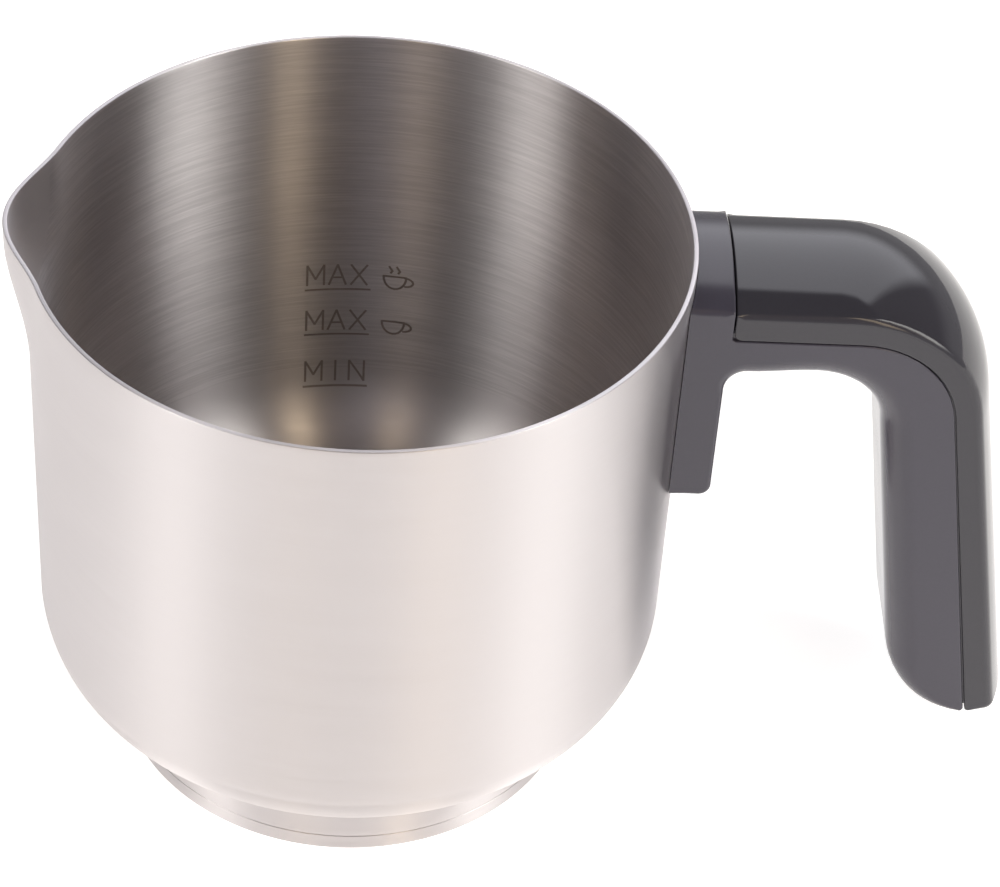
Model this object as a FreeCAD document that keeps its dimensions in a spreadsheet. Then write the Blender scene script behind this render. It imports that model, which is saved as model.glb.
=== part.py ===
"""Jug of an induction milk frother: a stepped stainless vessel with a pouring spout, a moulded C-shaped
handle, and a magnetic whisk on a stud.

Row frame, in millimetres: +Z up, the origin at the centre of the underside, the handle towards +X and the
spout towards -X. Every size is a cell of the spreadsheet "sizes", and every sketch, feature and placement
is bound to those cells.
"""
import FreeCAD, Part

import math
import os

import Sketcher
from FreeCAD import Placement, Rotation, Vector

DOCUMENT = FreeCAD.newDocument("milk_frother_jug")

# ---------------------------------------------------------------------------------------------
# Driving dimensions
# ---------------------------------------------------------------------------------------------
SIZES = [
    # vessel
    ("vessel_radius", 54.0, "outside radius of the upper wall"),
    ("vessel_height", 104.0, "height of the rim above the underside"),
    ("sheet", 0.8, "thickness of the drawn stainless sheet"),
    ("shoulder_top", 29.2, "height where the upper wall starts to curve in"),
    ("shoulder_radius", 15.4, "outside radius of the shoulder curve"),
    ("foot_inset", 13.5, "how far the lower wall stands inside the upper one"),
    ("foot_corner", 0.3, "outside radius of the corner between lower wall and floor"),
    # spout
    ("spout_reach", 3.6, "how far the spout stands out of the wall at the rim"),
    ("spout_half_angle", 18.0, "angle from the spout's middle to the centre of its hollow side curve"),
    ("spout_blend", 55.0, "radius of the hollow curve beside the spout"),
    ("spout_depth", 23.0, "height of the spout below the rim"),
    # base
    ("spreader_thickness", 2.5, "thickness of the heat spreader"),
    ("base_sheet", 0.8, "thickness of the magnetic base cup"),
    ("base_corner", 0.7, "rounding of the base cup's lower edge"),
    # stud
    ("stud_radius", 3.0, "radius of the whisk's stud"),
    ("stud_height", 15.0, "height of the stud above the floor"),
    ("stud_flange", 3.0, "how far the stud's welded flange stands out"),
    ("stud_flange_thickness", 1.0, "thickness of that flange"),
    # handle: heights
    ("bar_drop", 4.45, "depth of the cover's long edges below the rim"),
    ("crown", 2.6, "how far the cover's back stands above its long edges"),
    ("collar_rise", 0.6, "how far the collar stands above the cover"),
    ("lip_depth", 4.99, "depth of the seam below the cover's long edges"),
    ("bar_depth", 8.4, "depth of the bar's underside below the seam"),
    ("leg_length", 25.4, "length of the leg below the bar"),
    ("grip_drop", 88.55, "depth of the grip's end below the cover's long edges, along the seam"),
    # handle: distances outwards
    ("handle_half_width", 13.5, "half of the handle's width"),
    ("leg_thickness", 5.3, "distance of the leg's outer face from the vessel"),
    ("collar_depth", 5.65, "distance of the collar's face from the vessel"),
    ("cover_run", 25.1, "distance from the vessel to the centre of the cover's bend"),
    ("seam_run", 26.6, "distance from the vessel to the centre of the seam's bend"),
    ("finger_run", 20.3, "distance from the vessel to the centre of the finger side's bend"),
    ("cover_bend", 23.3, "bend radius of the cover's long edges"),
    ("seam_bend", 17.5, "bend radius of the seam"),
    ("finger_bend", 12.2, "bend radius of the finger side"),
    ("cover_lean", 10.25, "lean of the cover along the grip"),
    ("seam_lean", 9.75, "lean of the seam along the grip"),
    ("finger_lean", 8.7, "lean of the finger side along the grip"),
    # handle: roundings and walls
    ("grip_corner", 16.4, "large rounding of the grip's lower end"),
    ("finger_round", 5.5, "rounding of the finger side's long edges"),
    ("leg_corner", 3.0, "fillet between leg and bar"),
    ("leg_round", 2.0, "rounding of the leg's lower edge"),
    ("body_wall", 2.4, "wall of the handle body's channel"),
    ("cover_wall", 2.2, "wall of the cover"),
    ("cover_round", 1.1, "rounding of the cover's long edges"),
    ("seam_gap", 0.35, "visible gap between cover and handle body"),
    ("wall_gap", 0.1, "clearance between handle body and vessel"),
    # bracket and fasteners
    ("bracket_sheet", 1.6, "thickness of the welded bracket"),
    ("bracket_side", 5.0, "plastic at each side of the bracket plate"),
    ("bracket_below", 3.7, "plastic below the bracket plate"),
    ("tongue_side", 1.0, "how much narrower the tongue is at each side than the plate"),
    ("tongue_below", 1.6, "plastic below the tongue"),
    ("tongue_length", 23.4, "distance of the tongue's end from the vessel"),
    ("slot_clearance", 0.1, "clearance round the bracket in the handle body"),
    ("screw_radius", 2.0, "thread radius of the handle screws"),
    ("screw_clearance", 0.15, "radial clearance of the screw holes in plastic"),
    ("screw_head", 1.5, "how far the screw head stands out all round"),
    ("screw_head_height", 2.4, "height of the screw head"),
    ("screw_dome", 1.0, "rounding of the screw head"),
    ("screw_lead", 0.4, "chamfer of the screw's tip"),
    ("recess_length", 4.0, "length of the cross recess"),
    ("recess_width", 1.1, "width of the cross recess"),
    ("recess_depth", 1.4, "depth of the cross recess"),
    ("screw_edge", 1.0, "distance between the collar and the first screw's head"),
    ("screw_space", 0.8, "distance between the two screws' heads"),
    # whisk
    ("running_gap", 0.05, "radial clearance of the running fits"),
    ("press_gap", 0.02, "radial clearance of the snap fits"),
    ("fit_gap", 0.1, "clearance of the parts fitted into one another"),
    ("bush_wall", 1.55, "wall of the bush"),
    ("bush_flange", 1.6, "how far the bush's lower flange stands out"),
    ("bush_flange_thickness", 0.8, "thickness of that flange"),
    ("bush_lift", 0.3, "clearance between the bush and the stud's flange"),
    ("thrust_thickness", 1.2, "thickness of the thrust pad in the bush"),
    ("bush_crown", 1.4, "thickness of the bush above the thrust pad"),
    ("hub_wall", 3.35, "wall of the whisk's hub"),
    ("magnet_radius", 4.0, "radius of one magnet"),
    ("magnet_height", 3.0, "height of one magnet"),
    ("magnet_margin", 0.6, "plastic beside the magnets, and between their cover and the hub"),
    ("rotor_wall", 1.2, "wall and roof of the magnet disc"),
    ("rotor_round", 1.0, "rounding of the magnet disc's upper edge"),
    ("yoke_thickness", 0.8, "thickness of the steel yoke over the magnets"),
    ("lid_thickness", 0.8, "thickness of the magnet cover"),
    ("whisk_clearance", 9.0, "distance between the coil and the lower wall"),
    ("coil_radius", 3.2, "outside radius of the coil's turns"),
    ("coil_lift", 0.2, "height of the coil above the magnet disc's underside"),
    ("coil_bite", 0.4, "how far the cradle stops short of the coil's middle"),
    ("cradle_wall", 1.4, "plastic left behind the coil in its cradle"),
    ("arm_width", 5.0, "width of the whisk's arms"),
    ("arm_thickness", 2.4, "thickness of the whisk's arms"),
    ("cap_radius", 6.4, "radius of the whisk's knob"),
    ("cap_height", 5.0, "height of the knob"),
    ("cap_waist", 1.4, "depth of the knob's waist"),
    ("cap_round", 0.4, "rounding of the knob's top edge"),
    ("cap_spigot", 1.5, "depth of the knob's spigot in the hub"),
    ("seal_radius", 0.6, "half of the thickness of the knob's O-ring"),
]
MAGNETS = 4
ARMS = 4
SCREWS = 2
SPOUT_SECTIONS = 9
SPOUT_FULL = 0.86  # share of the spout's height above which it stands out fully
LEAST_SWELL = 0.004  # share of the reach at the spout's foot, so that its side curves don't vanish
BEYOND = 3.0  # how far a cutting shape runs past what it cuts

SHEET = DOCUMENT.addObject("Spreadsheet::Sheet", "sizes")
for row, (alias, number, meaning) in enumerate(SIZES, start=1):
    SHEET.set(f"A{row}", meaning)
    SHEET.set(f"B{row}", str(number))
    SHEET.setAlias(f"B{row}", alias)
DOCUMENT.recompute()


class Size:
    """A number with the spreadsheet expression that gives it, so that every formula stays live."""

    def __init__(self, number, text):
        self.number = float(number)
        self.text = text

    @staticmethod
    def of(other):
        return other if isinstance(other, Size) else Size(other, repr(float(other)))

    def __add__(self, other):
        other = Size.of(other)
        return Size(self.number + other.number, f"({self.text} + {other.text})")

    def __radd__(self, other):
        return Size.of(other) + self

    def __sub__(self, other):
        other = Size.of(other)
        return Size(self.number - other.number, f"({self.text} - {other.text})")

    def __rsub__(self, other):
        return Size.of(other) - self

    def __mul__(self, other):
        other = Size.of(other)
        return Size(self.number * other.number, f"({self.text} * {other.text})")

    def __rmul__(self, other):
        return Size.of(other) * self

    def __truediv__(self, other):
        other = Size.of(other)
        return Size(self.number / other.number, f"({self.text} / {other.text})")

    def __neg__(self):
        return Size(-self.number, f"(0 - {self.text})")

    def __float__(self):
        return self.number


def size(alias):
    return Size(SHEET.get(alias), f"sizes.{alias}")


def cosine(angle):
    """Cosine of an angle in degrees, which is FreeCAD's default unit for it."""
    return Size(math.cos(math.radians(angle.number)), f"cos({angle.text})")


def sine(angle):
    return Size(math.sin(math.radians(angle.number)), f"sin({angle.text})")


def tangent(angle):
    return Size(math.tan(math.radians(angle.number)), f"tan({angle.text})")


def root(value):
    return Size(math.sqrt(value.number), f"sqrt({value.text})")


# ---------------------------------------------------------------------------------------------
# Modelling helpers
# ---------------------------------------------------------------------------------------------
PLANES = {"XY": "XY_Plane", "XZ": "XZ_Plane", "YZ": "YZ_Plane"}


def new_body(label):
    body = DOCUMENT.addObject("PartDesign::Body", label)
    body.Label = label
    return body


def new_sketch(body, plane, name, offset=None):
    """A sketch on one of the body's origin planes, moved along its normal by offset. On XZ that is -Y."""
    sketch = body.newObject("Sketcher::SketchObject", name)
    support = next(f for f in body.Origin.OriginFeatures if f.Role == PLANES[plane])
    sketch.AttachmentSupport = [(support, "")]
    sketch.MapMode = "FlatFace"
    if offset is not None:
        sketch.setExpression("AttachmentOffset.Base.z", Size.of(offset).text)
        sketch.AttachmentOffset = Placement(Vector(0, 0, float(offset)), Rotation())
    return sketch


def pin_point(sketch, geometry, end, point):
    """Fixes one end of a piece of sketch geometry at a point given by two sizes."""
    for kind, value in zip(("DistanceX", "DistanceY"), point):
        value = Size.of(value)
        index = sketch.addConstraint(Sketcher.Constraint(kind, -1, 1, geometry, end, value.number))
        sketch.setExpression(f"Constraints[{index}]", value.text)


def bind_radius(sketch, geometry, radius):
    index = sketch.addConstraint(Sketcher.Constraint("Radius", geometry, radius.number))
    sketch.setExpression(f"Constraints[{index}]", radius.text)


def outline(sketch, path, closed=True):
    """Draws a path of points. ("arc", radius, centre) joins the point before it to the point after it."""
    points = [p for p in path if p[0] != "arc"]
    arcs = {sum(1 for q in path[:i] if q[0] != "arc") - 1: p for i, p in enumerate(path) if p[0] == "arc"}
    count = len(points) if closed else len(points) - 1
    starts = []
    for i in range(count):
        a = Vector(float(points[i][0]), float(points[i][1]), 0)
        b = Vector(float(points[(i + 1) % len(points)][0]), float(points[(i + 1) % len(points)][1]), 0)
        if i in arcs:
            _, radius, centre = arcs[i]
            c = Vector(float(centre[0]), float(centre[1]), 0)
            middle = c + ((a + b) * 0.5 - c).normalize() * float(radius)
            # the sketcher keeps every arc anticlockwise
            forward = (a - c).cross(b - c).z > 0
            edge = Part.Arc(a, middle, b) if forward else Part.Arc(b, middle, a)
            index = sketch.addGeometry(edge, False)
            starts.append((index, 1, 2) if forward else (index, 2, 1))
            bind_radius(sketch, index, radius)
        else:
            index = sketch.addGeometry(Part.LineSegment(a, b), False)
            starts.append((index, 1, 2))
    for i, point in enumerate(points):
        if i < count:
            pin_point(sketch, starts[i][0], starts[i][1], point)
    for i in range(count - 1 if not closed else count):
        here, there = starts[i], starts[(i + 1) % count]
        sketch.addConstraint(Sketcher.Constraint("Coincident", here[0], here[2], there[0], there[1]))
    if not closed:
        pin_point(sketch, starts[-1][0], starts[-1][2], points[-1])


def circle(sketch, x, y, radius):
    centre = Vector(float(x), float(y), 0)
    index = sketch.addGeometry(Part.Circle(centre, Vector(0, 0, 1), float(radius)), False)
    pin_point(sketch, index, 3, (x, y))
    bind_radius(sketch, index, Size.of(radius))


def rectangle(sketch, x0, x1, y0, y1):
    outline(sketch, [(x0, y0), (x1, y0), (x1, y1), (x0, y1)])


def finish_feature(body, feature, grows):
    """Recomputes and checks that the feature really added or removed material."""
    before = body.Tip.Shape.Volume if body.Tip and body.Tip != feature else 0.0
    base = getattr(feature, "BaseFeature", None)
    if base is not None:
        before = base.Shape.Volume
    DOCUMENT.recompute()
    after = feature.Shape.Volume
    changed = after - before
    if (grows and changed <= 1e-6) or (not grows and changed >= -1e-6):
        raise RuntimeError(f"{body.Label}.{feature.Name} changed the volume by {changed:.4f}")
    return feature


def pad(body, sketch, length, name, middle=False, reverse=False):
    feature = body.newObject("PartDesign::Pad", name)
    feature.Profile = sketch
    feature.Midplane = middle
    feature.Reversed = reverse
    feature.Length = float(length)
    feature.setExpression("Length", Size.of(length).text)
    return finish_feature(body, feature, True)


def pocket(body, sketch, length, name, middle=False, reverse=False):
    """Cuts along the sketch's negative normal, or its positive one when reverse is set."""
    feature = body.newObject("PartDesign::Pocket", name)
    feature.Profile = sketch
    feature.Midplane = middle
    feature.Reversed = reverse
    feature.Length = float(length)
    feature.setExpression("Length", Size.of(length).text)
    return finish_feature(body, feature, False)


def turn(body, sketch, name, cut=False):
    """Turns an XZ sketch about the vertical axis, adding or cutting."""
    feature = body.newObject("PartDesign::Groove" if cut else "PartDesign::Revolution", name)
    feature.Profile = sketch
    feature.ReferenceAxis = (sketch, ["V_Axis"])
    feature.Angle = 360
    return finish_feature(body, feature, not cut)


def pipe(body, profile, spine, name, cut=False):
    feature = body.newObject("PartDesign::SubtractivePipe" if cut else "PartDesign::AdditivePipe", name)
    feature.Profile = profile
    feature.Spine = (spine, ["Edge1", "Edge2", "Edge3"])
    feature.Transition = "Transformed"
    return finish_feature(body, feature, not cut)


def polar(body, feature, count, name):
    """Repeats a feature round the vertical axis."""
    pattern = body.newObject("PartDesign::PolarPattern", name)
    pattern.Originals = [feature]
    axis = next(f for f in body.Origin.OriginFeatures if f.Role == "Z_Axis")
    pattern.Axis = (axis, [""])
    pattern.Angle = 360
    pattern.Occurrences = count
    body.Tip = pattern
    DOCUMENT.recompute()
    return pattern


def edges_where(feature, test):
    """Names of the feature's edges whose sample points all pass the test."""
    names = []
    for number, edge in enumerate(feature.Shape.Edges, start=1):
        start, finish = edge.ParameterRange
        samples = [start, (start * 3 + finish) / 4, (start + finish) / 2, (start + finish * 3) / 4, finish]
        if all(test(edge.valueAt(sample)) for sample in samples):
            names.append(f"Edge{number}")
    return names


def fillet(body, base, radius, test, name):
    names = edges_where(base, test)
    if not names:
        raise RuntimeError(f"{body.Label}.{name} found no edge")
    feature = body.newObject("PartDesign::Fillet", name)
    feature.Base = (base, names)
    feature.Radius = float(radius)
    feature.setExpression("Radius", Size.of(radius).text)
    DOCUMENT.recompute()
    if not feature.Shape.isValid():
        raise RuntimeError(f"{body.Label}.{name} is not valid")
    return feature


def near(a, b, within=0.02):
    return abs(a - float(b)) < within


# ---------------------------------------------------------------------------------------------
# Sizes that several pieces share
# ---------------------------------------------------------------------------------------------
foot_radius = size("vessel_radius") - size("foot_inset")
foot_inner = foot_radius - size("sheet")
floor_underside = size("base_sheet") + size("spreader_thickness")
floor_top = floor_underside + size("sheet")
shoulder_centre = size("vessel_radius") - size("shoulder_radius")
spout_bottom = size("vessel_height") - size("spout_depth")

bar_edge_height = size("vessel_height") - size("bar_drop")
seam_height = bar_edge_height - size("lip_depth")
bar_underside = seam_height - size("bar_depth")
leg_bottom = bar_underside - size("leg_length")
grip_end_height = bar_edge_height - size("grip_drop")
leg_face = size("vessel_radius") + size("leg_thickness")
collar_face = size("vessel_radius") + size("collar_depth")
collar_top = bar_edge_height + size("collar_rise")

bracket_half_width = size("handle_half_width") - size("bracket_side")
bracket_bottom = leg_bottom + size("bracket_below")
tongue_half_width = bracket_half_width - size("tongue_side")
tongue_height = bar_underside + size("tongue_below")
tongue_top = tongue_height + size("bracket_sheet")
tongue_end = size("vessel_radius") + size("tongue_length")
screw_head_radius = size("screw_radius") + size("screw_head")
first_screw = collar_face + size("screw_edge") + screw_head_radius
screw_pitch = screw_head_radius * 2 + size("screw_space")

cover_bend_x = size("vessel_radius") + size("cover_run")
seam_bend_x = size("vessel_radius") + size("seam_run")
finger_bend_x = size("vessel_radius") + size("finger_run")
seam_drop = seam_height - size("seam_bend") * (1 - sine(size("seam_lean"))) - grip_end_height
seam_bottom_x = seam_bend_x + size("seam_bend") * cosine(size("seam_lean"))
grip_end_x = seam_bottom_x + seam_drop * tangent(size("seam_lean"))
PARTS = []


def keep(item):
    PARTS.append(item)
    return item


# ---------------------------------------------------------------------------------------------
# Vessel
# ---------------------------------------------------------------------------------------------
def vessel_profile(inset, bottom, top):
    """The vessel's turned outline, moved inwards by inset, from the axis below to the axis above."""
    upper = size("vessel_radius") - inset
    lower = foot_radius - inset
    curve = size("shoulder_radius") - inset
    corner = size("foot_corner") - inset if inset.number < size("foot_corner").number else Size.of(0)
    # where the shoulder's arc meets the lower wall
    across = lower - shoulder_centre
    meets = size("shoulder_top") - root(curve * curve - across * across)
    path = [(Size.of(0), bottom)]
    if corner.number > 0:
        path += [
            (lower - corner, bottom),
            ("arc", corner, (lower - corner, bottom + corner)),
            (lower, bottom + corner),
        ]
    else:
        path += [(lower, bottom)]
    path += [
        (lower, meets),
        ("arc", curve, (shoulder_centre, size("shoulder_top"))),
        (upper, size("shoulder_top")),
        (upper, top),
        (Size.of(0), top),
    ]
    return path


def spout_section(bulge, height, inset):
    """A closed wire round the vessel at one height: the wall, two hollow arcs and the tip at -X."""
    radius = size("vessel_radius").number
    blend = size("spout_blend").number
    beta = math.radians(size("spout_half_angle").number)
    span = radius + blend
    reach = radius + bulge
    across = span * math.cos(beta)
    tip = (blend**2 - span**2 - reach**2 + 2 * reach * across) / (2 * (across - reach - blend))
    tip_centre = Vector(-(reach - tip), 0, height)

    def on(centre, towards, distance):
        return centre + (towards - centre).normalize() * distance

    origin = Vector(0, 0, height)
    edges = []
    blend_centres = [Vector(-across, side * span * math.sin(beta), height) for side in (1, -1)]
    leaves = [on(origin, centre, radius - inset) for centre in blend_centres]
    joins = [on(centre, tip_centre, blend + inset) for centre in blend_centres]
    between = zip(blend_centres, leaves, joins)
    middles = [on(centre, (leaf + join) * 0.5, blend + inset) for centre, leaf, join in between]
    edges.append(Part.Arc(leaves[1], Vector(radius - inset, 0, height), leaves[0]).toShape())
    edges.append(Part.Arc(leaves[0], middles[0], joins[0]).toShape())
    edges.append(Part.Arc(joins[0], Vector(-(reach - inset), 0, height), joins[1]).toShape())
    edges.append(Part.Arc(joins[1], middles[1], leaves[1]).toShape())
    return Part.Wire(edges)


def spout_swell(share):
    """How far out the spout stands at a share of its height, from 0 at its foot to 1 at the rim."""
    eased = math.sin(min(1.0, share / SPOUT_FULL) * math.pi / 2) ** 2
    return size("spout_reach").number * max(eased, LEAST_SWELL)


def spout_solid(inset, above):
    """A solid of the vessel's width, with the spout on it, from below the spout to `above` the rim."""
    bottom = spout_bottom.number
    depth = size("spout_depth").number
    wires = []
    for number in range(SPOUT_SECTIONS):
        share = number / (SPOUT_SECTIONS - 1)
        wires.append(spout_section(spout_swell(share), bottom + depth * share, inset))
    if above:
        wires.append(spout_section(spout_swell(1.0), bottom + depth + above, inset))
    return Part.makeLoft(wires, True, False)


def make_vessel():
    """The drawn vessel: turned outside and inside, and a loft for the spout's double curve."""
    none = Size.of(0)
    outside = new_body("vessel_outside")
    sketch = new_sketch(outside, "XZ", "vessel_outside_profile")
    outline(sketch, vessel_profile(none, floor_underside, spout_bottom))
    turn(outside, sketch, "vessel_outside_turned")
    inside = new_body("vessel_inside")
    sketch = new_sketch(inside, "XZ", "vessel_inside_profile")
    outline(sketch, vessel_profile(size("sheet"), floor_top, spout_bottom))
    turn(inside, sketch, "vessel_inside_turned")
    upper = DOCUMENT.addObject("Part::Feature", "spout_outside")
    upper.Shape = spout_solid(0.0, 0.0)
    hollow = DOCUMENT.addObject("Part::Feature", "spout_inside")
    hollow.Shape = spout_solid(size("sheet").number, BEYOND)
    solid = DOCUMENT.addObject("Part::Fuse", "vessel_solid")
    solid.Base, solid.Tool = outside, upper
    void = DOCUMENT.addObject("Part::Fuse", "vessel_void")
    void.Base, void.Tool = inside, hollow
    shell = DOCUMENT.addObject("Part::Cut", "vessel_shell")
    shell.Base, shell.Tool = solid, void
    shell.Label = "vessel_shell"
    DOCUMENT.recompute()
    return keep(shell)


# ---------------------------------------------------------------------------------------------
# Base and stud
# ---------------------------------------------------------------------------------------------
def make_heat_spreader():
    body = new_body("heat_spreader")
    sketch = new_sketch(body, "XY", "spreader_outline", size("base_sheet"))
    circle(sketch, 0, 0, foot_inner - size("fit_gap"))
    pad(body, sketch, size("spreader_thickness"), "spreader_disc")
    return keep(body)


def make_induction_base():
    """A shallow cup of magnetic steel that closes the underside and holds the spreader."""
    body = new_body("induction_base")
    outer, corner, wall = foot_radius, size("base_corner"), size("base_sheet")
    sketch = new_sketch(body, "XZ", "base_profile")
    outline(
        sketch,
        [
            (Size.of(0), Size.of(0)),
            (outer - corner, Size.of(0)),
            ("arc", corner, (outer - corner, corner)),
            (outer, corner),
            (outer, floor_underside),
            (outer - wall, floor_underside),
            (outer - wall, wall),
            (Size.of(0), wall),
        ],
    )
    turn(body, sketch, "base_cup")
    return keep(body)


def make_whisk_stud():
    """The stud is welded to the floor by its flange; its tip is a half sphere."""
    body = new_body("whisk_stud")
    radius, flange, top = size("stud_radius"), stud_flange_radius, stud_tip
    sketch = new_sketch(body, "XZ", "stud_profile")
    outline(
        sketch,
        [
            (Size.of(0), floor_top),
            (flange, floor_top),
            (flange, floor_top + size("stud_flange_thickness")),
            (radius, floor_top + size("stud_flange_thickness")),
            (radius, top - radius),
            ("arc", radius, (Size.of(0), top - radius)),
            (Size.of(0), top),
        ],
    )
    turn(body, sketch, "stud_turned")
    return keep(body)


# ---------------------------------------------------------------------------------------------
# Handle
# ---------------------------------------------------------------------------------------------
class HandlePath:
    """A level line, a bend, and a line that leans outwards down to the plane that ends the grip."""

    def __init__(self, height, bend, bend_x, lean, end_inset=0.0):
        self.height, self.bend, self.bend_x, self.lean = height, bend, bend_x, lean
        self.centre = (bend_x, height - bend)
        self.over = (bend_x, height)
        self.down = (bend_x + bend * cosine(lean), height - bend + bend * sine(lean))
        # the end plane faces down the cover's lean
        normal = (sine(size("cover_lean")), -cosine(size("cover_lean")))
        along = (sine(lean), -cosine(lean))
        gap_x = grip_end_x - self.down[0]
        gap_z = grip_end_height - self.down[1]
        reach = gap_x * normal[0] + gap_z * normal[1] - end_inset
        run = reach / (along[0] * normal[0] + along[1] * normal[1])
        self.end = (self.down[0] + run * along[0], self.down[1] + run * along[1])

    def points(self, start_x):
        """From start_x outwards and down, with the bend's arc between its two ends."""
        return [(start_x, self.height), self.over, ("arc", self.bend, self.centre), self.down, self.end]

    def reversed_points(self, start_x):
        return [self.end, self.down, ("arc", self.bend, self.centre), self.over, (start_x, self.height)]


def cover_path(end_inset=0.0):
    return HandlePath(bar_edge_height, size("cover_bend"), cover_bend_x, size("cover_lean"), end_inset)


def seam_path(below=0.0):
    """The seam, or a line parallel to it on the finger side."""
    return HandlePath(seam_height - below, size("seam_bend") - below, seam_bend_x, size("seam_lean"))


def finger_path(inside=0.0, end_inset=0.0):
    """The finger side, or a line parallel to it inside the grip."""
    return HandlePath(
        bar_underside + inside, size("finger_bend") + inside, finger_bend_x, size("finger_lean"), end_inset
    )


def grip_end_arc(inside):
    """The large rounding from the finger side to the seam's end, or an arc parallel to it inside the grip."""
    start, finish = finger_path().down, seam_path(size("seam_gap")).end
    radius, lean = size("grip_corner"), size("finger_lean")
    along = (sine(lean), -cosine(lean))
    outward = (cosine(lean), sine(lean))
    gap = tuple(start[k] + radius * outward[k] - finish[k] for k in range(2))
    shadow = gap[0] * along[0] + gap[1] * along[1]
    run = -shadow - root(shadow * shadow - gap[0] * gap[0] - gap[1] * gap[1] + radius * radius)
    leaves = tuple(start[k] + run * along[k] + inside * outward[k] for k in range(2))
    centre = tuple(start[k] + run * along[k] + radius * outward[k] for k in range(2))
    share = (radius - inside) / radius
    meets = tuple(centre[k] + share * (finish[k] - centre[k]) for k in range(2))
    return [leaves, ("arc", radius - inside, centre), meets]


def crown_outline(half_width, edge_height, crown, depth):
    """A strip's cross-section in Y and Z: straight sides under a crowned back."""
    radius = (half_width * half_width + crown * crown) / (2 * crown)
    return [
        (-half_width, edge_height - depth),
        (half_width, edge_height - depth),
        (half_width, edge_height),
        ("arc", radius, (Size.of(0), edge_height + crown - radius)),
        (-half_width, edge_height),
    ]


def make_handle_body():
    """Leg, collar and the channel of bar and grip, moulded in one piece."""
    body = new_body("handle_body")
    half = size("handle_half_width")
    inboard = size("vessel_radius") - size("leg_thickness") * 2
    side = new_sketch(body, "XZ", "side_outline")
    outline(
        side,
        [
            (inboard, leg_bottom),
            (leg_face, leg_bottom),
            (leg_face, bar_underside - size("leg_corner")),
            ("arc", size("leg_corner"), (leg_face + size("leg_corner"), bar_underside - size("leg_corner"))),
        ]
        + finger_path().points(leg_face + size("leg_corner"))[:-1]
        + grip_end_arc(Size.of(0))
        + seam_path(size("seam_gap")).reversed_points(collar_face)[1:]
        + [
            (collar_face, collar_top),
            (inboard, collar_top),
        ],
    )
    block = pad(body, side, half * 2, "side_block", middle=True)
    block = fillet(
        body,
        block,
        size("leg_round"),
        lambda p: near(p.x, leg_face) and near(p.z, leg_bottom),
        "leg_end_round",
    )
    underside = bar_underside.number
    block = fillet(
        body,
        block,
        size("finger_round"),
        lambda p: near(abs(p.y), half) and near(p.z, underside) and p.x > leg_face.number,
        "finger_side_round",
    )

    crown = new_sketch(body, "YZ", "collar_crown", inboard)
    outline(crown, crown_outline(half, collar_top, size("crown"), size("collar_rise")))
    pad(body, crown, collar_face - inboard, "collar_back")

    round_wall = new_sketch(body, "XY", "vessel_clearance")
    circle(round_wall, 0, 0, size("vessel_radius") + size("wall_gap"))
    pocket(body, round_wall, size("vessel_height") + size("crown") + BEYOND, "vessel_cut", reverse=True)

    pocket_width = bracket_half_width + size("slot_clearance")
    plate = new_sketch(body, "XY", "bracket_recess", bracket_bottom - size("slot_clearance"))
    plate_out = size("vessel_radius") + size("bracket_sheet") + size("slot_clearance")
    rectangle(plate, inboard, plate_out, -pocket_width, pocket_width)
    recess_height = tongue_top - bracket_bottom + 2 * size("slot_clearance")
    pocket(body, plate, recess_height, "bracket_pocket", reverse=True)

    slot = new_sketch(body, "YZ", "tongue_slot", inboard)
    slot_half = tongue_half_width + size("slot_clearance")
    slot_bottom = tongue_height - size("slot_clearance")
    rectangle(slot, -slot_half, slot_half, slot_bottom, tongue_top + size("slot_clearance"))
    pocket(body, slot, tongue_end + size("slot_clearance") - inboard, "tongue_pocket", reverse=True)

    holes = new_sketch(body, "XY", "screw_holes", seam_height)
    for number in range(SCREWS):
        circle(holes, first_screw + screw_pitch * number, 0, size("screw_radius") + size("screw_clearance"))
    hole_depth = seam_height - tongue_height + size("tongue_below") / 2
    pocket(body, holes, hole_depth, "screw_pockets")

    wall = size("body_wall")
    channel = new_sketch(body, "XZ", "channel_outline")
    inner = finger_path(wall)
    above, bend = seam_height + BEYOND, size("seam_bend") + BEYOND
    beyond = HandlePath(above, bend, seam_bend_x, size("seam_lean"), wall)
    outline(
        channel,
        [inner.over, ("arc", inner.bend, inner.centre), inner.down]
        + grip_end_arc(wall)
        + [beyond.end, beyond.down, ("arc", beyond.bend, beyond.centre), beyond.over],
    )
    pocket(body, channel, (half - wall) * 2, "channel", middle=True)
    return keep(body)


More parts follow.
